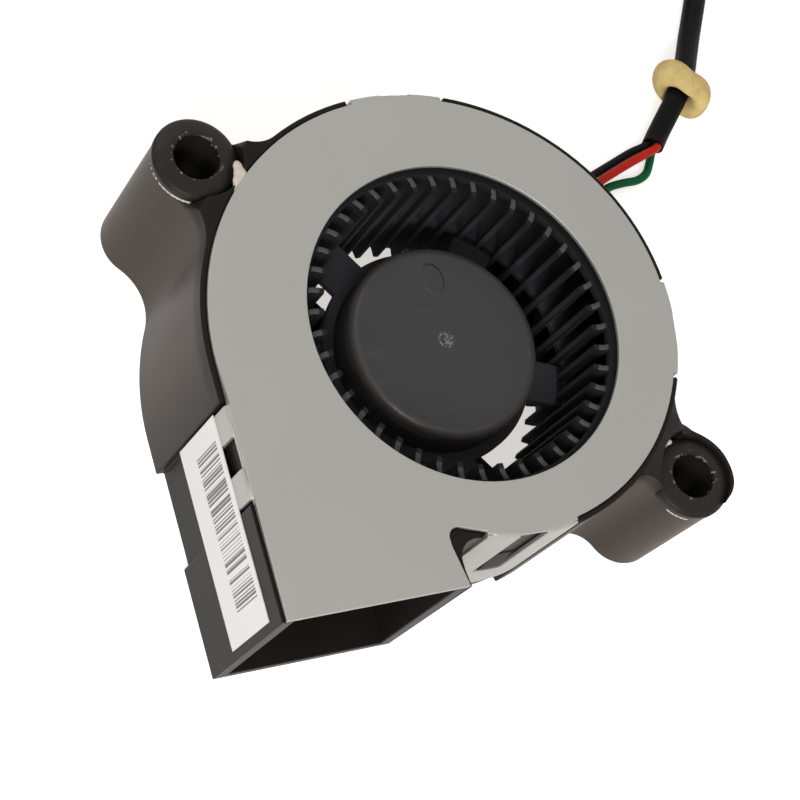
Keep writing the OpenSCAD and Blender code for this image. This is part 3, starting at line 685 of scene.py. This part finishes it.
def ear_collar():
    axis = Vector((*RIGHT_EAR, 0)) * MM
    inwards = -axis.normalized()
    bm = bmesh.new()
    line = smooth_line([(x, y, COLLAR_TOP) for x, y in COLLAR_EDGE], per_span=3)
    edge = [bm.verts.new(point) for point in line]
    for a, b in zip(edge, edge[1:], strict=False):
        bm.edges.new((a, b))
    for vert in new_verts(bmesh.ops.extrude_edge_only(bm, edges=bm.edges[:])):
        out = (vert.co.xy - axis.xy).normalized()
        vert.co.xy = axis.xy + out * (EAR_R - COLLAR_OVERLAP) * MM
    for vert in bm.verts:
        reach = (vert.co - axis).dot(inwards) - RISE_START * MM
        vert.co.z += WEB_SLOPE * max(reach, 0)
    for vert in new_verts(bmesh.ops.extrude_face_region(bm, geom=bm.faces[:])):
        vert.co.z = COLLAR_FOOT * MM
    bmesh.ops.recalc_face_normals(bm, faces=bm.faces)
    print("collar closed:", all(edge.is_manifold for edge in bm.edges))
    piece = piece_from(bm, "ear_collar", "casing", slot="housing_plastic")
    piece.data.set_sharp_from_angle(angle=SHARP_OVER)
    soften = piece.modifiers.new("soft_edges", "BEVEL")
    soften.width = ROUNDING * MM
    soften.segments = 2
    soften.limit_method = "ANGLE"
    soften.angle_limit = SHARP_OVER
    return piece


collar = ear_collar()
black_plastic.on(collar)

# %% [markdown]
# ## The snap-on cover
#
# The cover is punched and bent from zinc-coated sheet. Rolling leaves a very fine grain along
# the sheet, and the zinc dulls unevenly. Nothing on it shines like a mirror. An anisotropic
# shader could show the grain, but it needs a tangent on every face. A noise stretched along
# the sheet does the same with roughness and a slight bump.


# %% The cover and its finish
def cover_steel():
    finish = Finish("cover_steel", Metallic=0.75)
    rolled = finish.noise(0.12, finish.place(stretch=(1, 0.03, 1)), detail=3)
    cloud = finish.noise(14, detail=4)
    spot = ((finish.noise(0.8, detail=4) - 0.70) * 8).clamped()
    finish.set("Base Color", finish.mix(
        (cloud * 0.6 + rolled * 0.3).clamped(), (0.345, 0.338, 0.310), (0.395, 0.388, 0.358)))
    finish.set("Roughness", 0.46 + cloud * 0.1 + rolled * 0.06 - spot * 0.06)
    finish.bump(rolled * 0.7 + spot * 0.3, 0.004)
    return finish


cover = rounded_copy("steel_cover", "cover_plate", "casing", "cover_steel", 0.1)
cover_steel().on(cover)

# %% [markdown]
# ## The impeller
#
# The impeller is one black moulding: a hub like a cap, a thin web with gaps for the air, and
# a drum of blades. The hub's top is matt and lighter than the drum, partly dust and partly
# painted light where it faces the sky. It has a gate mark in its middle where the plastic was fed
# in, a faint oval left by an ejector pin, and a painted highlight on its shoulder. The tips of
# the blades carry a pale painted highlight. The drum is darker towards its top: painted fill
# light lifts it lower down, where little light reaches, and the inner edges of the blades stay
# black as painted shade. All of this is round the axis, so each mark is a mask on the distance
# from it and on the height.


# %% The impeller and its finish
HUB_TOP = 15.0
HUB_R = 10.2
HUB_SIDE = -1.6
SKIN = -0.3
GATE_R = 0.95
PIN_MARK = (0.5, 6.5, HUB_TOP)
PIN_R = 1.25
TIP_START = 14.8
TIP_END = 16.05
BLADE_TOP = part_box("impeller")[1].z / MM - HUB_TOP


def impeller_plastic():
    finish = Finish("impeller_plastic", Specular_IOR_Level=0.28)
    grain = finish.noise(0.3, detail=3)
    cloud = finish.noise(5, detail=4)
    streaks = finish.noise(1.1, finish.place(stretch=(0.25, 1, 1), turn=0.7), detail=5)
    scuff = ((streaks - 0.6) * 5).clamped()
    x, y, z = finish.axes(finish.place(centre=(0, 0, HUB_TOP)))
    away = (x * x + y * y) ** 0.5
    hub = (away < HUB_R + 0.05) * (z > HUB_SIDE)
    # Painted highlight: pale grey on the top edges of the blade tips.
    painted_tip_highlight = (z > BLADE_TOP - 0.06) * away.between(TIP_START, TIP_END, 0.2)
    gate = away.between(-1, GATE_R, 0.4) * (z > SKIN) * (0.35 + grain * 1.3)
    pin_x, pin_y, _ = finish.axes(finish.place(centre=PIN_MARK, stretch=(1, 0.72, 1)))
    oval = ((PIN_R - (pin_x * pin_x + pin_y * pin_y) ** 0.5) / 0.2).clamped() * (z > SKIN)
    # Dust and painted light: the hub is lighter grey than the drum, partly dust, partly painted light
    # on the top that faces the sky.
    dust_and_painted_light = (hub * (0.55 + cloud * 0.3 + scuff * 0.25) + gate * 0.35).clamped()
    # Painted highlight: a lighter, browner band round the shoulder of the hub.
    shoulder = away.between(HUB_R - 0.9, HUB_R + 0.1, 0.35) * (z > HUB_SIDE)
    # Painted fill light: the drum is lighter lower down, where little light reaches; the inner edges
    # of the blades are left black as painted shade.
    blade_edge = away.between(14.3, 15.1, 0.1)
    painted_fill_deep = ((4.0 - z) / 6).clamped() * (1 - hub) * (1 - blade_edge)
    black = finish.mix(painted_fill_deep, (0.0025, 0.0025, 0.0028), (0.034, 0.034, 0.038))
    top = finish.mix(dust_and_painted_light, black, (0.050, 0.048, 0.048))
    with_painted_highlight = finish.mix(shoulder * 0.5, top, (0.085, 0.070, 0.060))
    chips_and_glints = ((finish.noise(0.3, detail=2) - 0.48) * 9).clamped() * gate
    marked = finish.mix(chips_and_glints.clamped(), with_painted_highlight, (0.30, 0.28, 0.25))
    finish.set("Base Color", finish.mix(painted_tip_highlight, marked, (0.066, 0.064, 0.062)))
    finish.set("Roughness", 0.78 - hub * 0.3 + cloud * 0.08 - gate * 0.2 - shoulder * 0.2)
    finish.bump(grain * 0.12 + gate * grain * 1.6 + oval * 0.9 + cloud * 0.3, 0.14)
    return finish


impeller = rounded_copy("drum_impeller", "impeller", "rotor", "impeller_plastic", 0.07, 1)
impeller_plastic().on(impeller)

# %% [markdown]
# ## The rubber bushes
#
# Each ear holds a rubber bush with a flange on top. Rubber is satin, picks up pale dust and
# shows a slight orange-peel skin. Pale specks round the mouth of the bore are painted glints
# where its chamfer catches the light. One recipe finishes both bushes, and only the centre of
# the mask differs.


# %% The bushes and their finish
BORE_R = 2.25
MOUTH_DEPTH = 0.45


def bush_rubber(side, centre):
    finish = Finish(f"bush_rubber_{side}", Specular_IOR_Level=0.2, Specular_Tint=WARM)
    skin = finish.noise(0.5, detail=4)
    dust = ((finish.noise(1.6, detail=5, rough=0.7) - 0.55) * 3).clamped()
    x, y, z = finish.axes(finish.place(centre=(*centre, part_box(f"bush_{side}")[1].z / MM)))
    away = (x * x + y * y) ** 0.5
    mouth = away.between(BORE_R - 0.1, BORE_R + 0.5, 0.15) * (z > -MOUTH_DEPTH)
    # Painted glints: pale specks round the mouth of the bore, where its chamfer catches the light.
    chips_and_glints = ((finish.noise(0.45, detail=2) - 0.60) * 12).clamped() * mouth
    rubber = finish.mix(dust * 0.6, (0.0125, 0.0098, 0.0086), (0.036, 0.030, 0.026))
    finish.set("Base Color", finish.mix(chips_and_glints, rubber, (0.22, 0.20, 0.17)))
    finish.set("Roughness", 0.42 + dust * 0.2 - mouth * 0.2)
    finish.bump(skin + chips_and_glints * 2, 0.03)
    return finish


for side, centre in (("left", LEFT_EAR), ("right", RIGHT_EAR)):
    bush = rounded_copy(f"rubber_bush_{side}", f"bush_{side}", "casing", "bush_rubber", 0.12)
    bush_rubber(side, centre).on(bush)

# %% [markdown]
# ## The label
#
# A white paper label on the duct carries a row of plain bars. The bars are not drawn one by
# one: the length of the label is cut into narrow cells, each cell gets a random number, and
# the number decides how much of the cell is black.


# %% The label's finish
BAR_PITCH = 0.33
FRONT_MARGIN = 2.6
BACK_MARGIN = 2.0
LOW_MARGIN = 3.6
TOP_MARGIN = 0.9


def label_paper():
    low, high = (Vector(corner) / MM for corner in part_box("barcode_label"))
    finish = Finish("label_paper", Roughness=0.5)
    _, y, z = finish.axes(finish.place())
    cell = (y / BAR_PITCH).math("FLOOR")
    dice = finish.node("ShaderNodeTexWhiteNoise", {"noise_dimensions": "1D"}, W=cell * 1.37 + 3.1)
    across = (y / BAR_PITCH).math("FRACT")
    printed = (y > low.y + FRONT_MARGIN) * (y < high.y - BACK_MARGIN)
    band = printed * (z > low.z + LOW_MARGIN) * (z < high.z - TOP_MARGIN)
    print("cells for bars:", round((high.y - low.y - FRONT_MARGIN - BACK_MARGIN) / BAR_PITCH))
    bars = (across < dice * 0.95 - 0.05) * band
    fibre = finish.noise(0.25, detail=3)
    paper = finish.mix(fibre, (0.67, 0.655, 0.64), (0.74, 0.725, 0.71))
    finish.set("Base Color", finish.mix(bars * 0.9, paper, (0.04, 0.032, 0.032)))
    finish.bump(fibre, 0.01)
    return finish


label_paper().on(*cad_nodes("barcode_label"))

# %% [markdown]
# ## Wires, sleeve, foam and connector
#
# Wire jackets are extruded and slightly glossy. The sleeve is a duller tube with a fine skin.
# One recipe makes all four, from a colour, a darker one and a roughness. The foam has yellowed
# in patches and has open pores, which are small enough to be bump and colour alone.


# %% The lead's finishes
def jacket(name, colour, dark, rough):
    finish = Finish(name, Specular_IOR_Level=0.1)
    cloud = finish.noise(1.8, detail=3)
    skin = finish.noise(0.3, detail=2)
    finish.set("Base Color", finish.mix(cloud, dark, colour))
    finish.set("Roughness", rough + cloud * 0.12)
    finish.bump(skin, 0.01)
    return finish


jacket("wire_red", (0.62, 0.030, 0.016), (0.46, 0.016, 0.008), 0.36).on(red, tails[0])
jacket("wire_green", (0.002, 0.13, 0.042), (0.001, 0.085, 0.027), 0.36).on(green, tails[1])
jacket("wire_black", (0.005, 0.005, 0.005), (0.002, 0.002, 0.002), 0.4).on(black, tails[2])
jacket("sleeve_black", (0.0025, 0.0025, 0.0025), (0.001, 0.001, 0.001), 0.5).on(sleeve)


def foam_cream():
    finish = Finish("foam_cream", Roughness=0.9)
    age = finish.noise(1.6, detail=4)
    pores = finish.noise(0.22, detail=3, rough=0.7)
    finish.set("Base Color", finish.mix(
        (age * 1.3 - 0.15 + (pores - 0.5) * 0.5).clamped(), (0.50, 0.33, 0.10), (0.84, 0.67, 0.29)))
    finish.bump(pores * 0.7 + age * 0.3, 0.12)
    return finish


foam_cream().on(foam)


def plug_nylon():
    finish = Finish("plug_nylon", Roughness=0.42, Subsurface_Weight=0.1)
    cloud = finish.noise(2.5, detail=3)
    finish.set("Base Color", finish.mix(cloud, (0.70, 0.68, 0.61), (0.80, 0.78, 0.71)))
    finish.bump(finish.noise(0.4), 0.01)
    return finish


plug = rounded_copy("nylon_plug", "connector_housing", "casing", "plug_nylon", 0.12)
plug_nylon().on(plug)


# %% [markdown]
# ## The motor
#
# Behind the impeller sits a small motor: steel sheets, cream insulators, copper coils, a green
# board. Little of it shows, but each metal and plastic gets a finish of its own, made by two
# short recipes, one for worked metal and one for moulded or ceramic parts.


# %% Two recipes for the small parts
TARNISHED = 0.72
SHADED = 0.75


def worked_metal(name, colour, rough, grain, stretch=(1, 1, 1), relief=0.006):
    finish = Finish(name, Metallic=1.0)
    lines = finish.noise(grain, finish.place(stretch=stretch), detail=3)
    tarnish = finish.noise(3, detail=3)
    dark = tuple(TARNISHED * c for c in colour)
    finish.set("Base Color", finish.mix((tarnish * 0.7 + lines * 0.3).clamped(), dark, colour))
    finish.set("Roughness", rough + lines * 0.15)
    finish.bump(lines, relief)
    return finish


def fine_body(name, colour, rough, grain=0.3, relief=0.01):
    finish = Finish(name)
    cloud = finish.noise(2.5, detail=3)
    skin = finish.noise(grain, detail=3)
    dark = tuple(SHADED * c for c in colour)
    finish.set("Base Color", finish.mix(cloud, dark, colour))
    finish.set("Roughness", rough + cloud * 0.1)
    finish.bump(skin, relief)
    return finish


# %% The motor's finishes
worked_metal("shaft_steel", (0.62, 0.62, 0.63), 0.16, 0.15, (1, 1, 8)).on(*cad_nodes("shaft"))
races = worked_metal("bearing_steel", (0.60, 0.60, 0.61), 0.14, 0.2, (1, 1, 6))
races.on(*cad_nodes(
    "lower_bearing_outer", "lower_bearing_inner", "lower_bearing_balls",
    "upper_bearing_outer", "upper_bearing_inner", "upper_bearing_balls"))
spring = worked_metal("spring_steel", (0.52, 0.52, 0.52), 0.25, 0.2)
spring.on(*cad_nodes("preload_spring", "retaining_ring"))
worked_metal("tube_brass", (0.68, 0.50, 0.22), 0.26, 0.2, (1, 1, 8)).on(*cad_nodes("bearing_tube"))
worked_metal("core_steel", (0.22, 0.22, 0.23), 0.4, 0.5, (0.05, 0.05, 2)).on(*cad_nodes("stator_core"))
worked_metal("yoke_steel", (0.34, 0.34, 0.35), 0.34, 0.3, (1, 1, 0.2)).on(*cad_nodes("rotor_yoke"))
worked_metal("contact_tin", (0.60, 0.52, 0.32), 0.3, 0.2).on(*cad_nodes("connector_contacts"))
tin = worked_metal("pin_tin", (0.62, 0.61, 0.59), 0.3, 0.4, relief=0.03)
tin.on(*cad_nodes("winding_pins", "solder_joints"))
caps = fine_body("cap_plastic", (0.72, 0.67, 0.56), 0.45)
caps.on(*cad_nodes("insulator_lower", "insulator_upper"))
fine_body("magnet_ferrite", (0.035, 0.033, 0.033), 0.6, 0.2, 0.03).on(*cad_nodes("magnet_ring"))
fine_body("part_ceramic", (0.42, 0.31, 0.20), 0.4).on(*cad_nodes("board_parts"))
fine_body("chip_plastic", (0.022, 0.022, 0.024), 0.5, 0.2, 0.015).on(*cad_nodes("driver_chip"))


WIRE_PITCH = 0.22
TRACK_PITCH = 1.6


def winding_copper():
    """Turns lie side by side: fine waves in height, on all four coils, with painted shade in the
    grooves between them.
    """
    finish = Finish("winding_copper", Metallic=0.85)
    _, _, z = finish.axes(finish.place())
    turns = (z * (math.tau / WIRE_PITCH)).math("SINE") * 0.5 + 0.5
    cloud = finish.noise(1.5, detail=3)
    # Painted shade: the colour is darker in the grooves between the turns.
    finish.set("Base Color", finish.mix(turns, (0.28, 0.085, 0.025), (0.55, 0.21, 0.07)))
    finish.set("Roughness", 0.3 + cloud * 0.1)
    finish.bump(turns, 0.05)
    return finish


winding_copper().on(*cad_nodes("winding_1", "winding_2", "winding_3", "winding_4"))


def board_laminate():
    """Green coating over copper tracks that stand up a little."""
    finish = Finish("board_laminate", Coat_Weight=0.4, Coat_Roughness=0.2)
    x, y, _ = finish.axes(finish.place())
    away = (x * x + y * y) ** 0.5
    tracks = (away * (math.tau / TRACK_PITCH)).math("SINE").between(0.3, 1.2, 0.1)
    cloud = finish.noise(2, detail=3)
    finish.set("Base Color", finish.mix(
        (tracks * 0.6 + cloud * 0.3).clamped(), (0.012, 0.085, 0.035), (0.035, 0.20, 0.08)))
    finish.set("Roughness", 0.35 + cloud * 0.1)
    finish.bump(tracks, 0.03)
    return finish


board_laminate().on(*cad_nodes("circuit_board"))

# %% [markdown]
# ## Glue
#
# A line of cream glue has dried under the flange of the left bush, with a blob beside it, and
# a few spots hold the right bush. A swept tube would look too even for it. A bead is a chain
# of small lumps that flow into each other: spheres joined by a voxel remesh and smoothed.


# %% A bead of dried glue
VOXEL = 0.12
FLANGE_T = 1.6


def glue_bead(name, lumps):
    """Each lump is a place, a size and a squeeze along each axis."""
    bm = bmesh.new()
    for at, size, squeeze in lumps:
        made = bmesh.ops.create_icosphere(bm, subdivisions=2, radius=size * MM)["verts"]
        bmesh.ops.scale(bm, vec=squeeze, verts=made)
        bmesh.ops.translate(bm, vec=Vector(at) * MM, verts=made)
    piece = piece_from(bm, name, "casing")
    join = piece.modifiers.new("flow_together", "REMESH")
    join.mode = "VOXEL"
    join.voxel_size = VOXEL * MM
    join.use_smooth_shade = True
    settle = piece.modifiers.new("settle", "SMOOTH")
    settle.iterations = 4
    return piece


def dried_glue():
    finish = Finish("dried_glue", Roughness=0.45)
    cloud = finish.noise(0.8, detail=4)
    finish.set("Base Color", finish.mix(cloud, (0.42, 0.36, 0.27), (0.72, 0.67, 0.57)))
    finish.bump(finish.noise(0.3, detail=3), 0.04)
    return finish


def arc_lumps(centre, radius, z, arc, size, count, thin=1.0):
    """An uneven line of lumps along an arc in degrees, which may start thin."""
    start, stop = arc
    lumps = []
    for k in range(count):
        done = k / (count - 1)
        a = math.radians(start + (stop - start) * done)
        swell = (thin + (1 - thin) * done) * (1 + 0.2 * math.sin(k * 2.3))
        at = (centre[0] + radius * math.cos(a), centre[1] + radius * math.sin(a), z)
        lumps.append((at, size * swell, (1, 1, 0.8)))
    return lumps


left_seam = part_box("bush_left")[1].z / MM - FLANGE_T
right_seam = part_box("bush_right")[1].z / MM - FLANGE_T
left_line = arc_lumps(LEFT_EAR, EAR_R + 0.05, left_seam + 0.12, (165, 328), 0.25, 60, thin=0.4)
right_line = arc_lumps(RIGHT_EAR, EAR_R, right_seam, (-142, -108), 0.15, 14)
beads = [
    glue_bead("glue_line_left", left_line),
    glue_bead("glue_blob_left", [
        ((-18.9, 18.3, 19.4), 0.7, (0.8, 1.3, 0.5)), ((-18.9, 17.5, 19.5), 0.9, (0.85, 1.2, 0.45)),
        ((-19.1, 16.7, 19.5), 1.0, (0.85, 1.2, 0.42)),
        ((-19.4, 15.9, 19.45), 0.85, (0.9, 1.2, 0.45)), ((-19.8, 15.3, 19.3), 0.5, (1.1, 1, 0.6))]),
    glue_bead("glue_spot_right_top", [
        ((19.5, -14.6, 17.2), 0.5, (1.4, 0.8, 0.6)), ((18.9, -14.9, 17.3), 0.42, (1.2, 0.8, 0.6))]),
    glue_bead("glue_spot_right_low", right_line),
]
dried_glue().on(*beads)
print("beads:", [bead.name for bead in beads])

# %% [markdown]
# ## The two boxes
#
# The dressed model stays in the box of the CAD model. Both boxes are written down.

# %% Write the sizes and finish
bpy.context.view_layer.update()
boxes = [[list(corner) for corner in box] for box in (cad_box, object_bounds())]
print("boxes, mm:", [[[round(v / MM, 2) for v in c] for c in box] for box in boxes])
